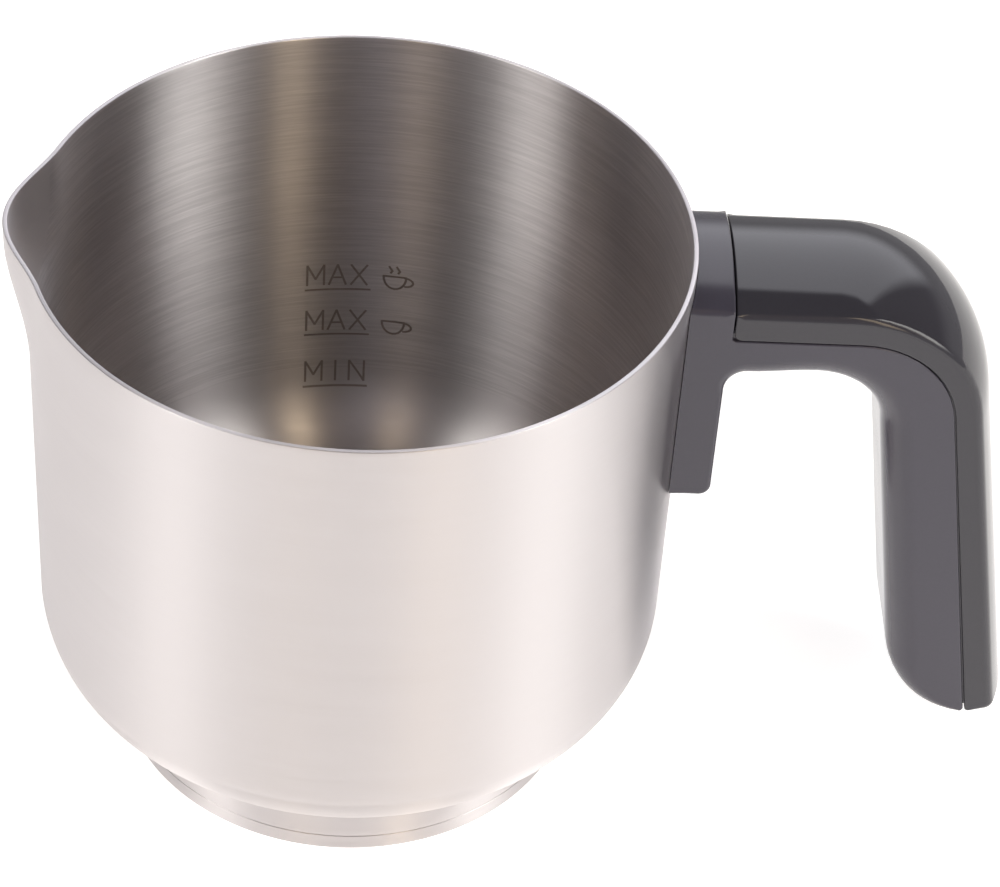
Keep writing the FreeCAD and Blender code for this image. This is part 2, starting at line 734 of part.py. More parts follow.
def make_handle_cover():
    """The glossy back of the handle: a crowned strip with side lips, swept round the bend, hollow inside."""
    body = new_body("handle_cover")
    half, wall, crown = size("handle_half_width"), size("cover_wall"), size("crown")
    start = collar_face + size("seam_gap")
    depth = size("lip_depth") + BEYOND
    spine = new_sketch(body, "XZ", "cover_spine")
    outline(spine, cover_path().points(start), closed=False)
    section = new_sketch(body, "YZ", "cover_section", start)
    outline(section, crown_outline(half, bar_edge_height, crown, depth))
    strip = pipe(body, section, spine, "cover_strip")

    below = new_sketch(body, "XZ", "cover_underside")
    path = seam_path()
    past_x = path.end[0] + BEYOND * 2 * sine(size("cover_lean"))
    past_z = path.end[1] - BEYOND * 2 * cosine(size("cover_lean"))
    outline(
        below,
        [
            (start - BEYOND, seam_height),
            path.over,
            ("arc", path.bend, path.centre),
            path.down,
            path.end,
            (past_x, past_z),
            (start - BEYOND, past_z),
        ],
    )
    strip = pocket(body, below, half * 2 + BEYOND, "cover_underside_cut", middle=True)

    inner_spine = new_sketch(body, "XZ", "cavity_spine")
    outline(inner_spine, cover_path(wall).points(start), closed=False)
    cavity = new_sketch(body, "YZ", "cavity_section", start)
    outer_back = (half * half + crown * crown) / (2 * crown)
    inner_back = outer_back - wall
    inner_half = half - wall
    middle_height = bar_edge_height + crown - outer_back
    inner_edge = middle_height + root(inner_back * inner_back - inner_half * inner_half)
    outline(
        cavity,
        [
            (-inner_half, bar_edge_height - depth - BEYOND),
            (inner_half, bar_edge_height - depth - BEYOND),
            (inner_half, inner_edge),
            ("arc", inner_back, (Size.of(0), middle_height)),
            (-inner_half, inner_edge),
        ],
    )
    strip = pipe(body, cavity, inner_spine, "cover_cavity", cut=True)
    fillet(
        body,
        strip,
        size("cover_round"),
        lambda p: near(abs(p.y), half) and near(p.z, bar_edge_height),
        "cover_edge_round",
    )
    return keep(body)


def make_handle_bracket():
    """A strip of stainless sheet welded to the vessel, bent out into a tongue with two tapped holes."""
    body = new_body("handle_bracket")
    inner = size("vessel_radius")
    outer = inner + size("bracket_sheet")
    half = bracket_half_width
    plate = new_sketch(body, "XY", "plate_outline", bracket_bottom)
    inner_x = root(inner * inner - half * half)
    outer_x = root(outer * outer - half * half)
    outline(
        plate,
        [
            (inner_x, -half),
            (outer_x, -half),
            ("arc", outer, (Size.of(0), Size.of(0))),
            (outer_x, half),
            (inner_x, half),
            ("arc", inner, (Size.of(0), Size.of(0))),
        ],
    )
    pad(body, plate, tongue_top - bracket_bottom, "plate")
    tongue = new_sketch(body, "XY", "tongue_outline", tongue_height)
    half_tongue = tongue_half_width
    rectangle(tongue, inner + size("bracket_sheet") / 2, tongue_end, -half_tongue, half_tongue)
    pad(body, tongue, size("bracket_sheet"), "tongue")
    holes = new_sketch(body, "XY", "tapped_holes", tongue_top)
    for number in range(SCREWS):
        circle(holes, first_screw + screw_pitch * number, 0, size("screw_radius"))
    pocket(body, holes, size("bracket_sheet"), "tapped")
    return keep(body)


def make_handle_screws():
    """Pan-head screws through the handle body's shelf into the tongue, alike and in one node."""
    radius, head = size("screw_radius"), screw_head_radius
    seat = seam_height - size("seam_gap")
    top = seat + size("screw_head_height")
    lead = size("screw_lead")
    tip = tongue_height - lead
    dome = size("screw_dome")
    copies = []
    for number in range(SCREWS):
        body = new_body(f"handle_screw_{number + 1}")
        sketch = new_sketch(body, "XZ", f"screw_profile_{number + 1}")
        outline(
            sketch,
            [
                (Size.of(0), tip),
                (radius - lead, tip),
                (radius, tip + lead),
                (radius, seat),
                (head, seat),
                (head, top - dome),
                ("arc", dome, (head - dome, top - dome)),
                (head - dome, top),
                (Size.of(0), top),
            ],
        )
        turn(body, sketch, f"screw_turned_{number + 1}")
        wide, narrow = size("recess_length") / 2, size("recess_width") / 2
        for turned, (across, along) in enumerate(((narrow, wide), (wide, narrow))):
            cross = new_sketch(body, "XY", f"recess_{number + 1}_{turned}", top)
            rectangle(cross, -across, across, -along, along)
            pocket(body, cross, size("recess_depth"), f"recess_cut_{number + 1}_{turned}")
        place = first_screw + screw_pitch * number
        body.setExpression("Placement.Base.x", place.text)
        body.Placement = Placement(Vector(place.number, 0, 0), Rotation())
        copies.append(body)
    group = DOCUMENT.addObject("Part::Compound", "handle_screws")
    group.Links = copies
    group.Label = "handle_screws"
    DOCUMENT.recompute()
    return keep(group)


# ---------------------------------------------------------------------------------------------
# Whisk
# ---------------------------------------------------------------------------------------------
stud_flange_radius = size("stud_radius") + size("stud_flange")
stud_tip = floor_top + size("stud_height")
bush_radius = size("stud_radius") + size("running_gap") + size("bush_wall")
bush_flange_radius = bush_radius + size("bush_flange")
bush_bottom = floor_top + size("stud_flange_thickness") + size("bush_lift")
thrust_bottom = stud_tip + size("running_gap")
thrust_top = thrust_bottom + size("thrust_thickness")
bush_top = thrust_top + size("bush_crown")

bush_bore = bush_radius + size("running_gap")
hub_radius = bush_bore + size("hub_wall")
hub_top = bush_top + size("running_gap") * 2 + size("cap_spigot")
lid_inner = hub_radius + size("magnet_margin")
lid_outer = lid_inner + (size("magnet_radius") + size("magnet_margin")) * 2
magnet_pitch = (lid_inner + lid_outer) / 2
rotor_radius = lid_outer + size("rotor_wall")
rotor_bottom = bush_bottom + size("bush_flange_thickness") + size("running_gap") * 2
lid_top = rotor_bottom + size("lid_thickness")
magnet_top = lid_top + size("magnet_height")
yoke_top = magnet_top + size("yoke_thickness")
rotor_top = yoke_top + size("fit_gap") + size("rotor_wall")
coil_path = foot_inner - size("whisk_clearance") - size("coil_radius")
coil_height = rotor_bottom + size("coil_radius") + size("coil_lift")
groove_radius = hub_radius - size("seal_radius") * 4


def ring_outline(inner, outer, bottom, top):
    return [(inner, bottom), (outer, bottom), (outer, top), (inner, top)]


def make_whisk_bush():
    """A blind sleeve that runs on the stud and carries the whisk on its flange."""
    body = new_body("whisk_bush")
    bore = size("stud_radius") + size("running_gap")
    sketch = new_sketch(body, "XZ", "bush_profile")
    outline(
        sketch,
        [
            (bore, bush_bottom),
            (bush_flange_radius, bush_bottom),
            (bush_flange_radius, bush_bottom + size("bush_flange_thickness")),
            (bush_radius, bush_bottom + size("bush_flange_thickness")),
            (bush_radius, bush_top),
            (Size.of(0), bush_top),
            (Size.of(0), thrust_top),
            (bore, thrust_top),
        ],
    )
    turn(body, sketch, "bush_turned")
    return keep(body)


def make_thrust_pad():
    """The hard pad inside the bush that the stud's tip carries."""
    body = new_body("thrust_pad")
    sketch = new_sketch(body, "XY", "pad_outline", thrust_bottom)
    circle(sketch, 0, 0, size("stud_radius") + size("running_gap"))
    pad(body, sketch, size("thrust_thickness"), "pad_disc")
    return keep(body)


def make_whisk_frame():
    """Hub, magnet disc, arms and the cradle of the coil, moulded in one piece."""
    body = new_body("whisk_frame")
    sketch = new_sketch(body, "XZ", "hub_profile")
    hub, rotor, edge = hub_radius, rotor_radius, size("rotor_round")
    outline(
        sketch,
        [
            (bush_bore, rotor_bottom),
            (rotor, rotor_bottom),
            (rotor, rotor_top - edge),
            ("arc", edge, (rotor - edge, rotor_top - edge)),
            (rotor - edge, rotor_top),
            (hub, rotor_top),
            (hub, hub_top),
            (bush_bore, hub_top),
        ],
    )
    turn(body, sketch, "hub_turned")

    ring = coil_path - size("coil_radius") - size("cradle_wall")
    coil_gap = size("coil_radius") + size("fit_gap")
    reach = coil_path - size("coil_bite")
    side = root(coil_gap * coil_gap - (coil_path - reach) * (coil_path - reach))
    cradle = new_sketch(body, "XZ", "cradle_profile")
    outline(
        cradle,
        [
            (ring, coil_height - side),
            (reach, coil_height - side),
            ("arc", coil_gap, (coil_path, coil_height)),
            (reach, coil_height + side),
            (ring, coil_height + side),
        ],
    )
    turn(body, cradle, "cradle")

    arm = new_sketch(body, "XY", "arm_outline", coil_height - size("arm_thickness") / 2)
    sunk = size("cradle_wall") / 2
    rectangle(arm, rotor - sunk, ring + sunk, -size("arm_width") / 2, size("arm_width") / 2)
    first_arm = pad(body, arm, size("arm_thickness"), "arm")
    polar(body, first_arm, ARMS, "arms")

    recess = new_sketch(body, "XZ", "magnet_recess")
    gap = size("fit_gap")
    outline(
        recess,
        ring_outline(lid_inner - gap, lid_outer + gap, rotor_bottom, lid_top),
    )
    turn(body, recess, "lid_recess", cut=True)
    well = new_sketch(body, "XY", "magnet_well", yoke_top + gap)
    circle(well, magnet_pitch, 0, size("magnet_radius") + gap)
    first_well = pocket(body, well, yoke_top + gap - lid_top, "magnet_pocket")
    polar(body, first_well, MAGNETS, "magnet_pockets")
    channel = new_sketch(body, "XZ", "yoke_channel")
    outline(
        channel,
        ring_outline(
            magnet_pitch - size("magnet_radius") - gap,
            magnet_pitch + size("magnet_radius") + gap,
            magnet_top,
            yoke_top + gap,
        ),
    )
    turn(body, channel, "yoke_groove", cut=True)
    return keep(body)


def ring_body(label, inner, outer, bottom, top):
    body = new_body(label)
    sketch = new_sketch(body, "XZ", label + "_profile")
    outline(sketch, ring_outline(inner, outer, bottom, top))
    turn(body, sketch, label + "_turned")
    return keep(body)


def make_drive_magnets():
    """Disc magnets in a circle, alike and in one node."""
    copies = []
    for number in range(MAGNETS):
        disc = DOCUMENT.addObject("Part::Cylinder", f"magnet_{number + 1}")
        disc.setExpression("Radius", "sizes.magnet_radius")
        disc.setExpression("Height", "sizes.magnet_height")
        turned = 360.0 * number / MAGNETS
        disc.setExpression("Placement.Base.x", f"{magnet_pitch.text} * cos({turned})")
        disc.setExpression("Placement.Base.y", f"{magnet_pitch.text} * sin({turned})")
        disc.setExpression("Placement.Base.z", lid_top.text)
        copies.append(disc)
    group = DOCUMENT.addObject("Part::Compound", "drive_magnets")
    group.Links = copies
    group.Label = "drive_magnets"
    DOCUMENT.recompute()
    return keep(group)


def make_whisk_coil():
    """The outer shape of the frothing coil, a ring of fine stainless turns that sits in the cradle."""
    coil = DOCUMENT.addObject("Part::Torus", "whisk_coil")
    coil.Label = "whisk_coil"
    coil.setExpression("Radius1", coil_path.text)
    coil.setExpression("Radius2", "sizes.coil_radius")
    coil.setExpression("Placement.Base.z", coil_height.text)
    DOCUMENT.recompute()
    return keep(coil)


def make_whisk_cap():
    """The knob that closes the hub and lifts the whisk out: a waisted turning with a groove for its seal."""
    body = new_body("whisk_cap")
    radius, lip = size("cap_radius"), size("cap_round")
    skirt = hub_radius - size("seal_radius") - lip
    waist = radius - size("cap_waist")
    groove_top = hub_top + size("seal_radius") * 2
    top = hub_top + size("cap_height")
    sketch = new_sketch(body, "XZ", "cap_profile")
    outline(
        sketch,
        [
            (Size.of(0), hub_top - size("cap_spigot")),
            (bush_bore - size("press_gap"), hub_top - size("cap_spigot")),
            (bush_bore - size("press_gap"), hub_top),
            (groove_radius, hub_top),
            (groove_radius, groove_top),
            (skirt, groove_top),
            (skirt, groove_top + lip),
            (waist, groove_top + lip * 2),
            (waist, top - lip * 4),
            (radius, top - lip * 3),
            (radius, top - lip),
            ("arc", lip, (radius - lip, top - lip)),
            (radius - lip, top),
            (Size.of(0), top),
        ],
    )
    turn(body, sketch, "cap_turned")
    return keep(body)


def make_cap_seal():
    seal = DOCUMENT.addObject("Part::Torus", "cap_seal")
    seal.Label = "cap_seal"
    seal.setExpression("Radius1", (groove_radius + size("seal_radius")).text)
    seal.setExpression("Radius2", "sizes.seal_radius")
    seal.setExpression("Placement.Base.z", (hub_top + size("seal_radius")).text)
    DOCUMENT.recompute()
    return keep(seal)


# ---------------------------------------------------------------------------------------------
# Build, check and write
# ---------------------------------------------------------------------------------------------
make_vessel()
make_heat_spreader()
make_induction_base()
make_whisk_stud()
make_handle_bracket()
make_handle_body()
make_handle_cover()
make_handle_screws()
make_whisk_bush()
make_thrust_pad()
make_whisk_frame()
make_drive_magnets()
ring_body(
    "magnet_yoke",
    magnet_pitch - size("magnet_radius"),
    magnet_pitch + size("magnet_radius"),
    magnet_top,
    yoke_top,
)
ring_body("magnet_cover", lid_inner, lid_outer, rotor_bottom, lid_top)
make_whisk_coil()
make_whisk_cap()
make_cap_seal()

DOCUMENT.recompute()
for item in DOCUMENT.Objects:
    if {"Invalid", "Error"} & set(item.State):
        raise RuntimeError(f"{item.Label} failed: {item.State}")
os.makedirs("parts", exist_ok=True)
for item in PARTS:
    shape = item.Shape
    if shape.isNull() or not shape.isValid():
        raise RuntimeError(f"{item.Label} has no valid shape")
    shape.exportStep(os.path.join("parts", item.Label + ".step"))
    print(f"{item.Label}: {len(shape.Solids)} solid(s), {shape.Volume:.1f} mm3")
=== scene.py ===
"""Looks of an induction milk frother's jug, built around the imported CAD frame.

Metres, +Z up, the handle towards +X and the spout towards -X. Shapes are given in millimetres and scaled when a
mesh is made.
"""

import math

import bpy
from mathutils import Matrix, Vector


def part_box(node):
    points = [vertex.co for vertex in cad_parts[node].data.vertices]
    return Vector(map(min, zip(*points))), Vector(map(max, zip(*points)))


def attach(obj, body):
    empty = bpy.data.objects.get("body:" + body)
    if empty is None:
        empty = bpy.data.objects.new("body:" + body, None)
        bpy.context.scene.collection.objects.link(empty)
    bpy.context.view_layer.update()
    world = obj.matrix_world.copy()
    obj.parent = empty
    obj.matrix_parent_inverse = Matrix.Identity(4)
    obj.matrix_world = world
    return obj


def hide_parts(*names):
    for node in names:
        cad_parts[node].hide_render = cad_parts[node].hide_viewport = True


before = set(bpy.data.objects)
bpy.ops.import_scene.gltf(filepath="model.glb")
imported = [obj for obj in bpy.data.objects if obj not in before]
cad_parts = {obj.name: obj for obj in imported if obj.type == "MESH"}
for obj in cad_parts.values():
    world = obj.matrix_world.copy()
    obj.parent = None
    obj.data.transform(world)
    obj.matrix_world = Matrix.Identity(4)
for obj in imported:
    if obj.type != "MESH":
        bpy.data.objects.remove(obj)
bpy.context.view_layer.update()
MM = 0.001
TAU = math.tau

# ---------------------------------------------------------------------------------------------
# Sizes, in millimetres. Those that the CAD holds are read from its nodes.
# ---------------------------------------------------------------------------------------------
VESSEL_LOW, VESSEL_HIGH = (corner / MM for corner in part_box("vessel_shell"))
BASE_LOW, BASE_HIGH = (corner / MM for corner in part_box("induction_base"))
RADIUS = 54.0
RIM = 104.0
SHEET = 0.8
FOOT_RADIUS = BASE_HIGH.y
BASE_TOP = BASE_HIGH.z
FLOOR_TOP = BASE_TOP + SHEET
SHOULDER_TOP = 29.2
SHOULDER_RADIUS = 15.4
FOOT_CORNER = 0.25
RIM_ROUND = 0.15
BASE_CORNER = 0.7
SPOUT_REACH = -VESSEL_LOW.x - RADIUS
SPOUT_HALF_ANGLE = math.radians(20.0)
SPOUT_DEPTH = 23.0
SPOUT_FULL = 0.86  # share of that depth over which the spout grows to its full reach

HALF_WIDTH = 13.5
BAR_TOP = 99.55
CROWN = 2.6
COLLAR_TOP = 100.15
COLLAR_FACE = 59.65
COVER_START = 59.87
SEAM_HEIGHT = 94.56
SEAM_GAP = 0.2
BAR_UNDERSIDE = 86.16
LEG_FACE = 59.3
LEG_BOTTOM = 60.76
WALL_CLEARANCE = 0.12
COVER_BEND, COVER_BEND_X, COVER_LEAN = 23.3, 79.1, math.radians(10.25)
SEAM_BEND, SEAM_BEND_X, SEAM_LEAN = 17.5, 80.6, math.radians(9.75)
FINGER_BEND, FINGER_BEND_X, FINGER_LEAN = 12.2, 74.3, math.radians(8.7)
GRIP_END = Vector((109.71, 11.0))
GRIP_CORNER = 16.4
END_BULGE, END_REACH = 2.0, 12.0

MARK_HEIGHTS = (25.3, 37.5, 48.2)
COIL_PATH, COIL_RADIUS, COIL_HEIGHT = 27.5, 3.2, 9.0
COIL_WIRE, COIL_TURNS = 0.45, 96


# ---------------------------------------------------------------------------------------------
# Mesh helpers
# ---------------------------------------------------------------------------------------------
def make_object(name, points, faces, sharp_angle=40.0):
    """A mesh object from points in millimetres, smooth except across edges sharper than sharp_angle."""
    mesh = bpy.data.meshes.new(name)
    mesh.from_pydata([Vector(p) * MM for p in points], [], faces)
    mesh.validate()
    for polygon in mesh.polygons:
        polygon.use_smooth = True
    mesh.set_sharp_from_angle(angle=math.radians(sharp_angle))
    mesh.update()
    item = bpy.data.objects.new(name, mesh)
    bpy.context.scene.collection.objects.link(item)
    return item


def even_normals(item):
    """Lets large flat faces set the normals, so that narrow roundings shade cleanly."""
    modifier = item.modifiers.new("normals", "WEIGHTED_NORMAL")
    modifier.keep_sharp = True
    modifier.weight = 90


def centre_texture_space(item, height):
    """Puts the middle of the generated coordinates on the vessel's axis, where the brushing turns."""
    item.data.use_auto_texspace = False
    item.data.texspace_location = (0, 0, height * MM / 2)
    item.data.texspace_size = (RADIUS * MM, RADIUS * MM, height * MM / 2)


def arc(centre, radius, start, finish, steps):
    """Points on an arc, angles in degrees, both ends included."""
    result = []
    for k in range(steps + 1):
        angle = math.radians(start + (finish - start) * k / steps)
        result.append(Vector((centre[0] + radius * math.cos(angle), centre[1] + radius * math.sin(angle))))
    return result


def straight(start, finish, steps):
    """Points between two ends, both left out."""
    a, b = Vector(start), Vector(finish)
    return [a.lerp(b, k / steps) for k in range(1, steps)]


def lathe(name, profile, segments, push=None, closed=True, sharp_angle=40.0):
    """Turns a profile of (radius, height) about the axis. push(angle, radius, height) adds to the radius.

    Points with no radius become poles.
    """
    points, rows = [], []
    for radius, height in profile:
        if radius < 1e-6:
            points.append((0, 0, height))
            rows.append([len(points) - 1])
            continue
        row = []
        for k in range(segments):
            angle = TAU * k / segments
            reach = radius + (push(angle, radius, height) if push else 0.0)
            points.append((reach * math.cos(angle), reach * math.sin(angle), height))
            row.append(len(points) - 1)
        rows.append(row)
    faces = []
    pairs = list(zip(rows, rows[1:]))
    if closed and len(rows[0]) > 1 and len(rows[-1]) > 1:
        pairs.append((rows[-1], rows[0]))
    for lower, upper in pairs:
        for k in range(segments):
            n = (k + 1) % segments
            if len(lower) == 1:
                faces.append((lower[0], upper[n], upper[k]))
            elif len(upper) == 1:
                faces.append((lower[k], lower[n], upper[0]))
            else:
                faces.append((lower[k], lower[n], upper[n], upper[k]))
    return make_object(name, points, faces, sharp_angle)


# ---------------------------------------------------------------------------------------------
# Outlines with rounded corners, and solids built from them in layers
# ---------------------------------------------------------------------------------------------
def cross(a, b):
    return a.x * b.y - a.y * b.x


def meet(point_a, along_a, point_b, along_b):
    """Where two lines cross."""
    return point_a + along_a * (cross(point_b - point_a, along_b) / cross(along_a, along_b))


class Corner:
    """A corner of an outline: its place, its rounding, and the solid's edge rounding before and after it."""

    def __init__(self, place, radius=0.0, edge=0.3, edge_after=None):
        self.place, self.radius, self.edge = Vector(place), radius, edge
        self.edge_after = edge if edge_after is None else edge_after


def rounded_outline(corners, step=2.5, arc_step=7.0):
    """(place, outward normal, edge rounding) along a closed outline given anticlockwise."""
    count = len(corners)
    spans = []
    for i, corner in enumerate(corners):
        before = (corners[i - 1].place - corner.place).normalized()
        after = (corners[(i + 1) % count].place - corner.place).normalized()
        half = math.acos(max(-1.0, min(1.0, before.dot(after)))) / 2
        trim = corner.radius / math.tan(half)
        turning = math.copysign(1.0, cross(-before, after))
        centre = corner.place + (before + after).normalized() * (corner.radius / math.sin(half))
        start, finish = corner.place + before * trim, corner.place + after * trim
        spans.append((start, finish, centre, turning, math.pi - 2 * half))
    result = []
    for i, corner in enumerate(corners):
        start, finish, centre, turning, swept = spans[i]
        if corner.radius > 0:
            steps = max(2, math.ceil(math.degrees(swept) / arc_step))
            first = start - centre
            for k in range(steps + 1):
                spoke = Matrix.Rotation(turning * swept * k / steps, 2) @ first
                edge = corner.edge + (corner.edge_after - corner.edge) * k / steps
                result.append((centre + spoke, spoke.normalized() * turning, edge))
        else:
            along = (spans[(i + 1) % count][0] - finish).normalized()
            behind = (start - spans[i - 1][1]).normalized()
            normal = (Vector((along.y, -along.x)) + Vector((behind.y, -behind.x))).normalized()
            result.append((corner.place.copy(), normal, corner.edge))
        following = corners[(i + 1) % count]
        target = spans[(i + 1) % count][0]
        run = target - finish
        steps = max(1, math.ceil(run.length / step))
        normal = Vector((run.y, -run.x)).normalized()
        for k in range(1, steps):
            share = k / steps
            edge = corner.edge_after + (following.edge - corner.edge_after) * (3 * share**2 - 2 * share**3)
            result.append((finish.lerp(target, share), normal, edge))
    return result


def edge_drop(distance, edge):
    """How far a surface has fallen away at a distance from the solid's side, for a rounding of that size."""
    if distance >= edge:
        return 0.0
    return edge - math.sqrt(max(0.0, edge * edge - (edge - distance) ** 2))


def layer_distances():
    """Distances from the side at which the solid is cut into layers: close together at the rounded edges."""
    near_side = [0.0, 0.04, 0.12, 0.25, 0.42, 0.65, 0.95, 1.35, 1.85, 2.5, 3.3, 4.3, 5.5]
    middle = [5.5 + (HALF_WIDTH - 5.5) * k / 7 for k in range(1, 8)]
    return near_side + middle


def layered_solid(name, outline, shape, sharp_angle=35.0, narrower=0.0):
    """Stacks copies of an outline across Y.

    shape(place, normal, edge, y, distance) returns where an outline point lies in that layer. The layers closer
    than narrower to the sides are left out.
    """
    inner = layer_distances()
    layers = [(-HALF_WIDTH + d, d) for d in inner] + [(HALF_WIDTH - d, d) for d in reversed(inner[:-1])]
    layers = [layer for layer in layers if layer[1] >= narrower]
    points, faces = [], []
    count = len(outline)
    for y, distance in layers:
        for place, normal, edge in outline:
            spot = shape(place, normal, edge, y, distance)
            points.append((spot.x, y, spot.y))
    for layer in range(len(layers) - 1):
        for k in range(count):
            a, b = layer * count + k, layer * count + (k + 1) % count
            faces.append((a, a + count, b + count, b))
    faces.append(tuple(range(count)))
    faces.append(tuple(reversed(range((len(layers) - 1) * count, len(layers) * count))))
    item = make_object(name, points, faces, sharp_angle)
    even_normals(item)
    return item


def crown_at(y):
    """Height of the crowned back above its long edges."""
    radius = (HALF_WIDTH**2 + CROWN**2) / (2 * CROWN)
    return math.sqrt(radius * radius - y * y) - (radius - CROWN)


# ---------------------------------------------------------------------------------------------
# Vessel and base
# ---------------------------------------------------------------------------------------------
def spout_push(angle, radius, height):
    """How far the spout stands out: a rounded ridge with hollow flanks that fades downwards."""
    if radius < RADIUS - 2 * SHEET or height < RIM - SPOUT_DEPTH:
        return 0.0
    turned = abs(angle - math.pi)
    if turned >= SPOUT_HALF_ANGLE:
        return 0.0
    across = math.cos(math.pi * turned / (2 * SPOUT_HALF_ANGLE)) ** 2
    share = min(1.0, (height - (RIM - SPOUT_DEPTH)) / (SPOUT_DEPTH * SPOUT_FULL))
    return SPOUT_REACH * across * math.sin(share * math.pi / 2) ** 2


def wall_profile(inset, floor):
    """(radius, height) up one face of the vessel's sheet, from its floor to just under the rim."""
    lower = FOOT_RADIUS - inset
    corner = max(FOOT_CORNER - inset, 0.1)
    curve = SHOULDER_RADIUS - inset
    centre = RADIUS - SHOULDER_RADIUS
    dip = math.degrees(math.asin((lower - centre) / curve))
    profile = [Vector((0.0, floor))]
    profile += [Vector((lower * k / 14, floor)) for k in range(1, 14)]
    profile += arc((lower - corner, floor + corner), corner, -90, 0, 6)
    meets = SHOULDER_TOP - curve * math.cos(math.radians(dip))
    profile += straight((lower, floor + corner), (lower, meets), 6)
    profile += arc((centre, SHOULDER_TOP), curve, -90 + dip, 0, 28)
    profile += straight((RADIUS - inset, SHOULDER_TOP), (RADIUS - inset, RIM - 0.4), 56)
    return profile


def make_vessel():
    outside = wall_profile(0.0, BASE_TOP)
    inside = wall_profile(SHEET, FLOOR_TOP)
    rim = arc((RADIUS - RIM_ROUND, RIM - RIM_ROUND), RIM_ROUND, 0, 90, 4)
    rim += arc((RADIUS - SHEET + RIM_ROUND, RIM - RIM_ROUND), RIM_ROUND, 90, 180, 4)
    vessel = lathe("vessel", outside + rim + inside[::-1], 480, spout_push, closed=False, sharp_angle=60)
    centre_texture_space(vessel, RIM)
    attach(vessel, "jug")
    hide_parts("vessel_shell")
    return vessel


def make_base_cup():
    wall = SHEET
    profile = [Vector((FOOT_RADIUS * k / 12, 0.0)) for k in range(12)]
    profile += arc((FOOT_RADIUS - BASE_CORNER, BASE_CORNER), BASE_CORNER, -90, 0, 8)
    profile += [Vector((FOOT_RADIUS, BASE_TOP - 0.05)), Vector((FOOT_RADIUS - 0.05, BASE_TOP))]
    profile += [Vector((FOOT_RADIUS - wall, BASE_TOP)), Vector((FOOT_RADIUS - wall, wall))]
    profile += [Vector((0.0, wall))]
    base = lathe("base_cup", profile, 240, closed=False)
    centre_texture_space(base, BASE_TOP)
    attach(base, "jug")
    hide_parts("induction_base")
    return base


# ---------------------------------------------------------------------------------------------
# Handle
# ---------------------------------------------------------------------------------------------
def down_line(bend, bend_x, height, lean):
    """A point on the leaning line below a bend, and the line's direction downwards."""
    point = Vector((bend_x + bend * math.cos(lean), height - bend + bend * math.sin(lean)))
    return point, Vector((math.sin(lean), -math.cos(lean)))


def bend_corner(bend, bend_x, height, lean):
    """Where the level line at that height would meet the leaning line."""
    point, along = down_line(bend, bend_x, height, lean)
    return meet(point, along, Vector((0.0, height)), Vector((1.0, 0.0)))


END_ALONG = Vector((math.cos(COVER_LEAN), math.sin(COVER_LEAN)))


def line_end(bend, bend_x, height, lean):
    """Where a leaning line reaches the plane that ends the grip."""
    point, along = down_line(bend, bend_x, height, lean)
    return meet(point, along, GRIP_END, END_ALONG)


def handle_body_outline():
    seam = (SEAM_BEND - SEAM_GAP, SEAM_BEND_X, SEAM_HEIGHT - SEAM_GAP, SEAM_LEAN)
    finger = (FINGER_BEND, FINGER_BEND_X, BAR_UNDERSIDE, FINGER_LEAN)
    end = line_end(*seam)
    start, along = down_line(*finger)
    outward = Vector((math.cos(FINGER_LEAN), math.sin(FINGER_LEAN)))
    gap = start + outward * GRIP_CORNER - end
    shadow = gap.dot(along)
    run = -shadow - math.sqrt(shadow**2 - gap.dot(gap) + GRIP_CORNER**2)
    centre = start + along * run + outward * GRIP_CORNER
    spoke = (end - centre).normalized()
    grip_corner = meet(start, along, end, Vector((-spoke.y, spoke.x)))
    inboard = RADIUS - 1.0
    corners = [
        Corner((inboard, LEG_BOTTOM), 0, 0.8),
        Corner((LEG_FACE, LEG_BOTTOM), 2.0, 0.8),
        Corner((LEG_FACE, BAR_UNDERSIDE), 3.0, 0.8, 4.0),
        Corner(bend_corner(*finger), FINGER_BEND, 5.5),
        Corner(grip_corner, GRIP_CORNER * 0.94, 5.5, 0.55),
        Corner(end, 0.7, 0.5),
        Corner(bend_corner(*seam), SEAM_BEND - SEAM_GAP, 0.3),
        Corner((COLLAR_FACE, SEAM_HEIGHT - SEAM_GAP), 0.5, 0.25),
        Corner((COLLAR_FACE, COLLAR_TOP), 0.3, 0.25),
        Corner((COLLAR_FACE - 1.5, COLLAR_TOP), 0, 1.0),
        Corner((inboard, COLLAR_TOP), 0, 1.0),
    ]
    return corners


def end_bulge(place, y):
    """The grip's end is a little longer in the middle than at its sides."""
    above = (place - GRIP_END).dot(Vector((-math.sin(COVER_LEAN), math.cos(COVER_LEAN))))
    share = max(0.0, min(1.0, 1.0 - above / END_REACH))
    length = END_BULGE * (3 * share**2 - 2 * share**3) * (1.0 - (y / HALF_WIDTH) ** 2)
    return Vector((math.sin(COVER_LEAN), -math.cos(COVER_LEAN))) * length


def shape_handle_body(place, normal, edge, y, distance):
    """The moulding's side edges are rounded, its collar is crowned, and it stops at the vessel's round wall."""
    spot = place - normal * edge_drop(distance, edge) + end_bulge(place, y)
    if place.y > COLLAR_TOP - 1.0:
        spot.y += crown_at(y)
    if place.x < RADIUS - 0.5:
        spot.x = math.sqrt((RADIUS + WALL_CLEARANCE) ** 2 - y * y)
    return spot


def make_handle_body():
    outline = rounded_outline(handle_body_outline())
    body = layered_solid("handle_moulding", outline, shape_handle_body)
    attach(body, "jug")
    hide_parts("handle_body")
    return body


